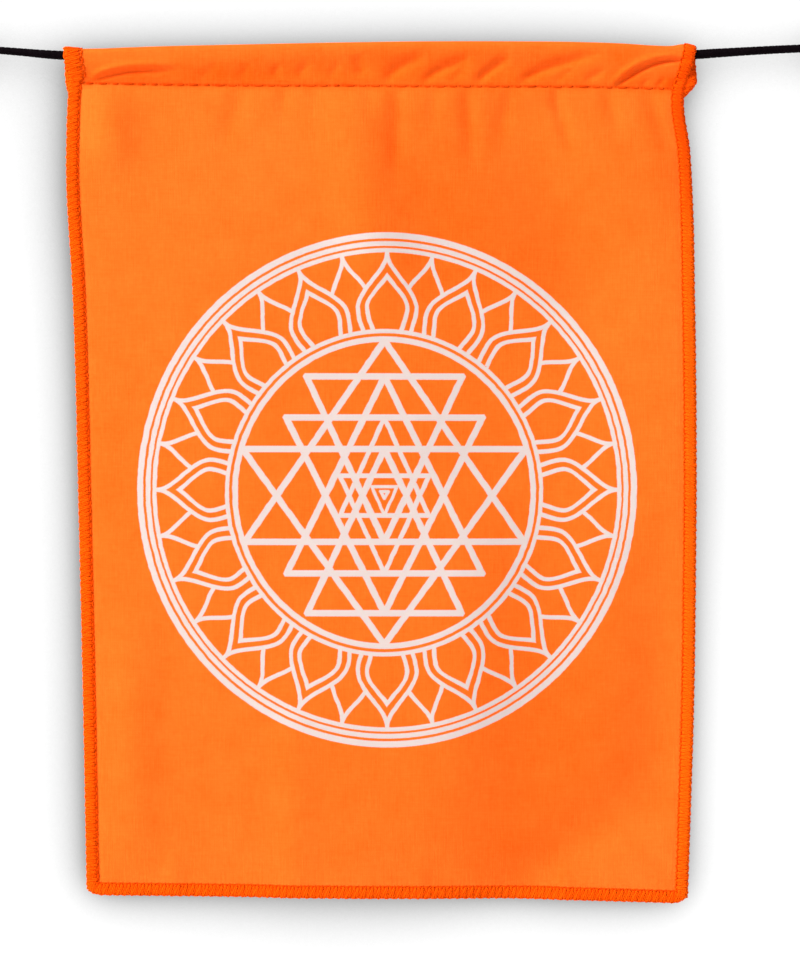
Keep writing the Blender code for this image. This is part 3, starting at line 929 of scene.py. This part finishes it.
def sewn_colour(tree, colour):
    """The cloth's colour with the thread's under its overlocked edges, and painted shade in the seam's
    groove and its needle holes.
    """
    side, hem = attribute(tree, "side_place"), attribute(tree, "hem_place")
    to_edge = separated(side)[1].least(separated(hem)[1])
    band = (to_edge - OVERLOCK_BAND).step(*BAND_FADE, 1.0, 0.0)
    colour = mixed(tree, band, colour, BAND_ORANGE)
    seam = attribute(tree, "seam_place")
    # Painted shade in the seam's groove.
    groove = abs(separated(seam)[1]).step(*GROOVE_FADE, GROOVE_SHADE, 0.0)
    colour = mixed(tree, groove, colour, PAINTED_RECESS_SHADE)
    # Painted shade in the needle holes.
    holes = stitch_holes(seam, SEAM_PITCH, 0.0, SEAM_HOLE)
    holes = holes.most(stitch_holes(side, OVERLOCK_PITCH, NEEDLE_INSET, NEEDLE_HOLE))
    holes = holes.most(stitch_holes(hem, OVERLOCK_PITCH, NEEDLE_INSET, NEEDLE_HOLE))
    return mixed(tree, holes * HOLE_SHADE, colour, PAINTED_RECESS_SHADE)


def spun_material(name, shades, grain, roughness, specular, top_shade=None):
    """Spun thread or cord in two shades, with its fibres raised; top_shade darkens it near the top as
    painted shade.
    """
    made, tree, shader = new_material(name, roughness, specular)
    place = tree.nodes.new("ShaderNodeNewGeometry")
    metres_to_mm = (1.0 / MM,) * 3
    position = Field(tree, place.outputs["Position"]).vector("MULTIPLY", metres_to_mm)
    fibres = noise(position, grain, 3.0, 0.7)
    patches = noise(position, 0.4, 2.0)
    share = (fibres - 0.5) * 1.2 + (patches - 0.5) * 0.9 + 0.4
    colour = mixed(tree, share.most(0.0).least(1.0), *shades)
    if top_shade is not None:
        # Painted shade: darker towards the top.
        near_top = separated(position)[2].step(*TOP_SHADE_REACH, 0.0, TOP_SHADE_SHARE)
        colour = mixed(tree, near_top, colour, top_shade)
    link_colour_and_bump(tree, shader, colour, fibres, distance=FIBRE_RELIEF)
    return made


def row_places():
    """The cloth's rows along the strip, in its five stretches."""
    ends = [0.0]
    for number, rows in enumerate(ROWS):
        ends += [number + (i + 1) / rows for i in range(rows)]
    return np.array(ends)


def patches_depth(patches, x, z):
    depth = np.zeros(np.shape(x))
    for patch in patches:
        away = np.hypot((x - patch.x) / patch.across, (z - patch.z) / patch.down)
        depth = depth + patch.depth * np.exp(-(away**2))
    return depth


def painted_shading_depth(x, z):
    """How much painted shade lies on the cloth at flat places in mm, with painted light where below 0."""
    above = z - from_table(SEAM, x)
    # Painted shade over the sleeve, deepest along its foot at the seam.
    foot = SLEEVE_FOOT_PAINTED_SHADE * np.exp(-(((above - 1.5) / SLEEVE_FOOT_REACH) ** 2))
    sleeve = SLEEVE_PAINTED_SHADE + foot + patches_depth(SLEEVE_SHADE_PATCHES, x, z)
    return np.where(above < 0.0, patches_depth(PAINTED_SHADING_PATCHES, x, z), sleeve)


def cotton_surfaces():
    """The cloth's materials: each zone's printed face, then its back."""
    surfaces = []
    for zone in ("bare", "petals", "triangles"):
        surfaces.append(cotton_material(f"cotton_{zone}", zone, printed=True))
        surfaces.append(cotton_material(f"cotton_{zone}_back", zone, printed=False))
    return surfaces


def zone_at(x, z):
    """0 on bare cloth, 1 in the ring of petals and 2 among the triangles, at flat places in mm."""
    away = np.hypot(x - PRINT_CENTRE[0], (z - PRINT_CENTRE[1]) / PRINT_STRETCH)
    return (away < PETAL_ZONE).astype(int) + (away < TRIANGLE_ZONE)


def store(mesh, name, first, second):
    """Keep two numbers at each point of a mesh, for its material to read."""
    layer = mesh.attributes.new(name, "FLOAT_VECTOR", "POINT")
    vectors = np.stack([first, second, np.zeros_like(first)], axis=1)
    layer.data.foreach_set("vector", vectors.astype(np.float32).ravel())


def store_places(mesh, runs, u, w, points, flat):
    """Keep each point's place along the seam and the edges, and in from them, and its painted shade and
    light.
    """
    x, z = points[:, 0], points[:, 2]
    to_side = np.minimum(x - side_x(0.0, w, z), side_x(1.0, w, z) - x)
    up_side = np.where(u < 0.5, runs["left"].along(w / 5.0), runs["right"].along(w / 5.0))
    store(mesh, "seam_place", runs["seam"].along(u), flat - from_table(SEAM, x))
    store(mesh, "side_place", up_side, to_side)
    store(mesh, "hem_place", runs["bottom"].along(u), flat - from_table(BOTTOM, x))
    store(mesh, "painted_shading", painted_shading_depth(x, flat), np.zeros_like(x))


def cloth_piece(runs):
    """The cotton: one thin sheet from its bottom edge up, over the cord and down to its back hem."""
    u, w = np.meshgrid(np.linspace(0.0, 1.0, COLUMNS + 1), row_places())
    points, flat = cloth_at(u, w)
    points, flat = points.reshape(-1, 3), flat.ravel()
    faces = grid_faces(*u.shape)
    piece = mesh_piece("flag_cotton", points, faces.tolist(), cotton_surfaces())
    mesh = piece.data
    zones = zone_at(points[faces, 0].mean(axis=1), flat[faces].mean(axis=1))
    mesh.polygons.foreach_set("material_index", (2 * zones).astype(np.int32))
    uv = mesh.uv_layers.new(name="flat")
    corners = faces.ravel()
    uv.data.foreach_set("uv", (np.stack([points[corners, 0], flat[corners]], axis=1) * MM).ravel())
    store_places(mesh, runs, u.ravel(), w.ravel(), points, flat)
    solid = piece.modifiers.new("thickness", "SOLIDIFY")
    solid.thickness = CLOTH * MM
    solid.offset = 0.0
    solid.material_offset = 1
    solid.material_offset_rim = 1
    return piece


class EdgeRun:
    """A sewn edge: turns a distance along it and one in from it, in mm, into a place on the cloth."""

    def __init__(self, place):
        self.place = place
        self.shares = np.linspace(0.0, 1.0, RUN_SAMPLES)
        line = cloth_at(*place(self.shares, OVERLOCK_BAND))[0]
        steps = np.linalg.norm(np.diff(line, axis=0), axis=1)
        self.distance = np.concatenate([[0.0], np.cumsum(steps)])

    def length(self):
        return self.distance[-1]

    def along(self, share):
        return np.interp(share, self.shares, self.distance)

    def points(self, along, inset, lift):
        share = np.interp(along, self.distance, self.shares)
        return cloth_above(*self.place(share, inset), lift)


def thread_points(run, chart, pitch, lift_sign=1.0, shift=0.0, slant=0.0, pull=0.0):
    """One continuous thread that repeats a stitch chart along a run; each needle hole pulls it in."""
    stitches = int(run.length() / pitch)
    count = np.arange(stitches)[:, None]
    along = (count + [step.run + shift for step in chart]) * pitch
    inset = np.broadcast_to([step.inset for step in chart], along.shape)
    lift = np.broadcast_to([lift_sign * step.lift for step in chart], along.shape)
    wobble = sum(wave.reach * np.sin(along * wave.turn) for wave in THREAD_WOBBLES)
    lift = lift - lift_sign * pull * np.cos(2.0 * math.pi * along / OVERLOCK_PITCH)
    along = along + slant * inset
    return run.points(along.ravel(), (inset + wobble).ravel(), lift.ravel())


def overlock(name, run, surfaces, sides=(1.0, -1.0)):
    """Overlock stitches: loopers on the sides given, a thread along the edge and the needle line."""
    half = 0.5 * CLOTH
    raised = [step._replace(lift=step.lift + half) for step in UPPER_LOOPER]
    needle = [step._replace(lift=step.lift + half) for step in NEEDLE_THREAD]
    loopers = [tube(thread_points(run, EDGE_THREAD, OVERLOCK_PITCH), EDGE_RADIUS, THREAD_SIDES)]
    needles = []
    for side in sides:
        shift = 0.0 if side > 0.0 else LOOPER_BACK_SHIFT
        line = thread_points(run, raised, LOOPER_PITCH, side, shift, LOOPER_SLANT, LOOPER_PULL)
        loopers.append(tube(line, LOOPER_RADIUS, THREAD_SIDES))
        shift = 0.0 if side > 0.0 else NEEDLE_BACK_SHIFT
        line = thread_points(run, needle, OVERLOCK_PITCH, side, shift)
        needles.append(tube(line, NEEDLE_RADIUS, THREAD_SIDES))
    points, faces = joined(loopers + needles)
    piece = mesh_piece(name, points, faces, surfaces)
    needle_start = sum(len(thread_faces) for _, thread_faces in loopers)
    is_needle = np.arange(len(faces)) >= needle_start
    piece.data.polygons.foreach_set("material_index", is_needle.astype(np.int32))
    return piece


def seam_stitches(seams, surface):
    """The sleeve's lockstitch, on the front layer and again on the back one."""
    half = 0.5 * CLOTH
    parts = []
    for run in seams:
        for number in range(int(run.length() / SEAM_PITCH)):
            stretch = SEAM_STITCH_LENGTHS[number % len(SEAM_STITCH_LENGTHS)]
            along = np.array([(number + 0.5 + step.run * stretch) * SEAM_PITCH for step in SEAM_THREAD])
            lift = np.array([step.lift + half for step in SEAM_THREAD])
            parts.append(tube(run.points(along, 0.0 * along, lift), SEAM_RADIUS, THREAD_SIDES))
    points, faces = joined(parts)
    piece = mesh_piece("sleeve_stitches", points, faces, (surface,))
    return piece


def resampled(points, pitch):
    """Points at an even pitch on a smooth curve through the given ones."""
    points = np.asarray(points, float)
    key = np.concatenate([[0.0], np.cumsum(np.linalg.norm(np.diff(points, axis=0), axis=1))])
    at = np.linspace(0.0, key[-1], max(2, int(key[-1] / pitch)))
    return np.stack([smooth_curve(key, points[:, axis], at) for axis in range(3)], axis=1)


def braid(angle, distance):
    """The raised diamonds of a round braid: two sets of strands that wind opposite ways."""
    turn = 2.0 * math.pi * distance / BRAID_PITCH
    one = np.cos(BRAID_CARRIERS * angle + BRAID_CARRIERS * turn)
    other = np.cos(BRAID_CARRIERS * angle - BRAID_CARRIERS * turn)
    return BRAID_RELIEF * (np.maximum(one, other) - 0.6)


def cord_line():
    """The cord's centreline, with its ends run a little way into the knots."""
    xs, zs = zip(*CORD_ROUTE)
    at = np.linspace(xs[0], xs[-1], int((xs[-1] - xs[0]) / CORD_STEP))
    return np.stack([at, 0.0 * at, smooth_curve(xs, zs, at)], axis=1)


def cord_piece(surface):
    line = cord_line()
    girth = 0.5 * CORD_DIAMETER * from_table(CORD_GIRTH, line[:, 0])
    points, faces = tube(line, girth, CORD_SIDES, braid)
    return mesh_piece("hanging_cord", points, faces, (surface,)), line


def knot_and_eye_line():
    """One end's cord: through the knot, round the eye, back inside and wound over both strands."""
    bend = 0.5 * (EYE_WIDTH + CORD_DIAMETER)
    bend_x = KNOT_LENGTH + EYE_LENGTH + 0.5 * CORD_DIAMETER - bend
    upper = [(-1.0, 0.0, 0.0), (1.5, 0.0, 0.4), (5.0, 0.0, CORE_SPREAD), (7.6, 0.0, 1.15)]
    upper += [(9.6, 0.0, 1.85), (13.9, 0.0, 4.2), (17.8, 0.0, 5.3)]
    arc = [(bend_x + bend * math.sin(t), 0.0, bend * math.cos(t)) for t in np.linspace(0.15, 2.99, 12)]
    lower = [(x, y, -z) for x, y, z in reversed(upper[3:])] + [(5.0, 0.0, -CORE_SPREAD)]
    into_wraps = [(2.6, 0.0, -CORE_SPREAD), (1.2, 0.5, -1.5)]
    winds = []
    for t in np.linspace(0.0, 1.0, 12 * KNOT_WRAPS):
        turn = 2.0 * math.pi * KNOT_WRAPS * t
        along = 1.0 + (KNOT_LENGTH - 2.2) * t
        winds.append((along, WRAP_RADIUS * math.sin(turn), -WRAP_RADIUS * math.cos(turn)))
    tail = [(7.2, 1.0, -2.0), (9.0, 1.6, -3.4), (11.5, 2.0, -5.0)]
    return resampled(upper + arc + lower + into_wraps + winds + tail, CORD_STEP)


def end_piece(name, node, facing, surface):
    """A tied end in place of its solid: its knot meets the cord and its eye bears on the hook."""
    xs, zs = zip(*CORD_ROUTE)
    seat = np.array([xs[0] - SEAT_GAP, 0.0, zs[0]] if facing < 0 else [xs[-1] + SEAT_GAP, 0.0, zs[-1]])
    drop = seat[2] + FLAG_ORIGIN[2]
    tilt = math.asin(drop / (KNOT_LENGTH + EYE_LENGTH))
    line = knot_and_eye_line()
    flat_x = math.cos(tilt) * line[:, 0] + math.sin(tilt) * line[:, 2]
    flat_z = math.cos(tilt) * line[:, 2] - math.sin(tilt) * line[:, 0]
    placed = seat + np.stack([facing * flat_x, facing * line[:, 1], flat_z], axis=1)
    points, faces = tube(placed, 0.46 * CORD_DIAMETER, CORD_SIDES, braid)
    piece = mesh_piece(name, points, faces, (surface,))
    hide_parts(node)
    return piece


def camera():
    data = bpy.data.cameras.new("camera")
    data.lens = LENS_MM
    data.sensor_width = SENSOR_MM
    shot = bpy.data.objects.new("camera", data)
    bpy.context.scene.collection.objects.link(shot)
    distance = LENS_MM * VIEW_HEIGHT / SENSOR_MM
    shot.location = world((VIEW_CENTRE[0], -distance, VIEW_CENTRE[1]))
    shot.rotation_euler = (math.radians(90.0), 0.0, 0.0)
    bpy.context.scene.camera = shot


def area_light(name, place, size, watts):
    data = bpy.data.lights.new(name, "AREA")
    data.shape = "DISK"
    data.size = size
    data.energy = watts
    light = bpy.data.objects.new(name, data)
    bpy.context.scene.collection.objects.link(light)
    light.location = world(place)
    towards = Vector(world((VIEW_CENTRE[0], 0.0, VIEW_CENTRE[1]))) - light.location
    light.rotation_euler = towards.to_track_quat("-Z", "Y").to_euler()


def lights():
    sky = bpy.data.worlds.new("studio")
    bpy.context.scene.world = sky
    sky.use_nodes = True
    tree = sky.node_tree
    towards = tree.nodes.new("ShaderNodeTexCoord")
    height = separated(Field(tree, towards.outputs["Generated"]))[2]
    strength = height.step(-1.0, 1.0, SKY_BELOW, SKY_ABOVE)
    tree.nodes["Background"].inputs["Color"].default_value = (1.0, 1.0, 1.0, 1.0)
    tree.links.new(strength.socket, tree.nodes["Background"].inputs["Strength"])
    for lamp in LAMPS:
        area_light(*lamp)
    bpy.context.scene.view_settings.view_transform = "Standard"


def wall_material():
    """A pale glow, no lamp, with the flag's soft shadow painted on it from ambient occlusion, seen from its
    front only.
    """
    made = bpy.data.materials.new("pale_wall")
    made.use_nodes = True
    tree = made.node_tree
    tree.nodes.remove(tree.nodes["Principled BSDF"])
    shade = tree.nodes.new("ShaderNodeAmbientOcclusion")
    shade.samples = SHADE_SAMPLES
    shade.inputs["Distance"].default_value = SHADE_REACH * MM
    lean = combined(tree, *SHADE_LEAN).vector("NORMALIZE")
    tree.links.new(lean.socket, shade.inputs["Normal"])
    glow = tree.nodes.new("ShaderNodeEmission")
    # Painted shadow: the glow dims where ambient occlusion finds the flag near.
    strength = Field(tree, shade.outputs["AO"]).do("POWER", SHADE_POWER) * WALL_GLOW
    tree.links.new(strength.socket, glow.inputs["Strength"])
    geometry = tree.nodes.new("ShaderNodeNewGeometry")
    clear = tree.nodes.new("ShaderNodeBsdfTransparent")
    either = tree.nodes.new("ShaderNodeMixShader")
    tree.links.new(geometry.outputs["Backfacing"], either.inputs[0])
    tree.links.new(glow.outputs[0], either.inputs[1])
    tree.links.new(clear.outputs[0], either.inputs[2])
    tree.links.new(either.outputs[0], tree.nodes["Material Output"].inputs[0])
    return made


def floor_material():
    made, _, shader = new_material("pale_floor", roughness=0.9, specular=0.1)
    shader.inputs["Base Color"].default_value = PALE
    return made


def stage_plane(name, corners, surface):
    mesh = bpy.data.meshes.new(name)
    mesh.from_pydata(world(corners).tolist(), [], [(0, 1, 2, 3)])
    mesh.materials.append(surface)
    plane = bpy.data.objects.new(name, mesh)
    bpy.context.scene.collection.objects.link(plane)
    return plane


def stage():
    """A pale wall close behind the flag, open from its far side, and a pale floor below."""
    span = STAGE_SPAN
    y, z = WALL_DEPTH, FLOOR_DROP
    wall = stage_plane(
        "wall",
        [(-span, y, z), (span, y, z), (span, y, span), (-span, y, span)],
        wall_material(),
    )
    wall.visible_shadow = wall.visible_diffuse = wall.visible_glossy = False
    wall.visible_transmission = False
    stage_plane(
        "floor",
        [(-span, -span, z), (span, -span, z), (span, span, z), (-span, span, z)],
        floor_material(),
    )


def left_spread(w):
    """How much wider the left edge's stitches lie, w along the strip: the sleeve's end spreads them."""
    return 1.0 + CORNER_SPREAD * (eased(*SPREAD_RISES, w) - eased(*SPREAD_FALLS, w))


def sewn_runs():
    """The lines of sewing: round the cut edges, and along the sleeve's seam on both layers."""
    width, panel = 2.0 * NOMINAL_HALF_WIDTH, NOMINAL_PANEL
    return {
        "left": EdgeRun(lambda s, inset: (inset * left_spread(5.0 * s) / width, 5.0 * s)),
        "right": EdgeRun(lambda s, inset: (1.0 - inset / width + 0.0 * s, 5.0 * s)),
        "bottom": EdgeRun(lambda s, inset: (s, inset / panel + 0.0 * s)),
        "hem": EdgeRun(lambda s, inset: (s, 5.0 - inset / BACK_HEM + 0.0 * s)),
        "seam": EdgeRun(lambda s, inset: (s, 1.0 + 0.0 * s)),
        "back_seam": EdgeRun(lambda s, inset: (s, 4.0 + 0.0 * s)),
    }


def dress_flag():
    runs = sewn_runs()
    cloth = cloth_piece(runs)
    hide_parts("flag_cloth")
    thread = spun_material("thread", (THREAD_ORANGE, DEEP_THREAD), 4.0, 0.85, 0.01, SHADED_TOP_THREAD)
    needle = spun_material("needle_thread", (NEEDLE_ORANGE, DEEP_NEEDLE), 4.0, 0.85, 0.01)
    # The lockstitch thread's colours carry painted shade.
    lock = spun_material("seam_thread", (SEAM_ORANGE, DEEP_SEAM), 4.0, 0.85, 0.01)
    deeper = spun_material("deeper_thread", (LEFT_THREAD, DEEP_LEFT_THREAD), 4.0, 0.85, 0.01)
    sewing = [overlock("overlock_right", runs["right"], (thread, needle))]
    sewing += [overlock(f"overlock_{edge}", runs[edge], (deeper, needle)) for edge in ("left", "bottom")]
    sewing.append(overlock("overlock_hem", runs["hem"], (deeper, needle), sides=(1.0,)))
    sewing.append(seam_stitches((runs["seam"], runs["back_seam"]), lock))
    strip = cloth_at(np.full(600, 0.5), np.linspace(0.0, 5.0, 600))[0]


def dress_cord():
    surface = spun_material("black_cord", (CORD_BLACK, WORN_BLACK), 5.0, 0.7, 0.02)
    piece, line = cord_piece(surface)
    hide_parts("cord")
    ends = [
        end_piece("left_tied_end", "left_end_loop", -1, surface),
        end_piece("right_tied_end", "right_end_loop", 1, surface),
    ]


camera()
dress_cord()
dress_flag()
lights()
stage()
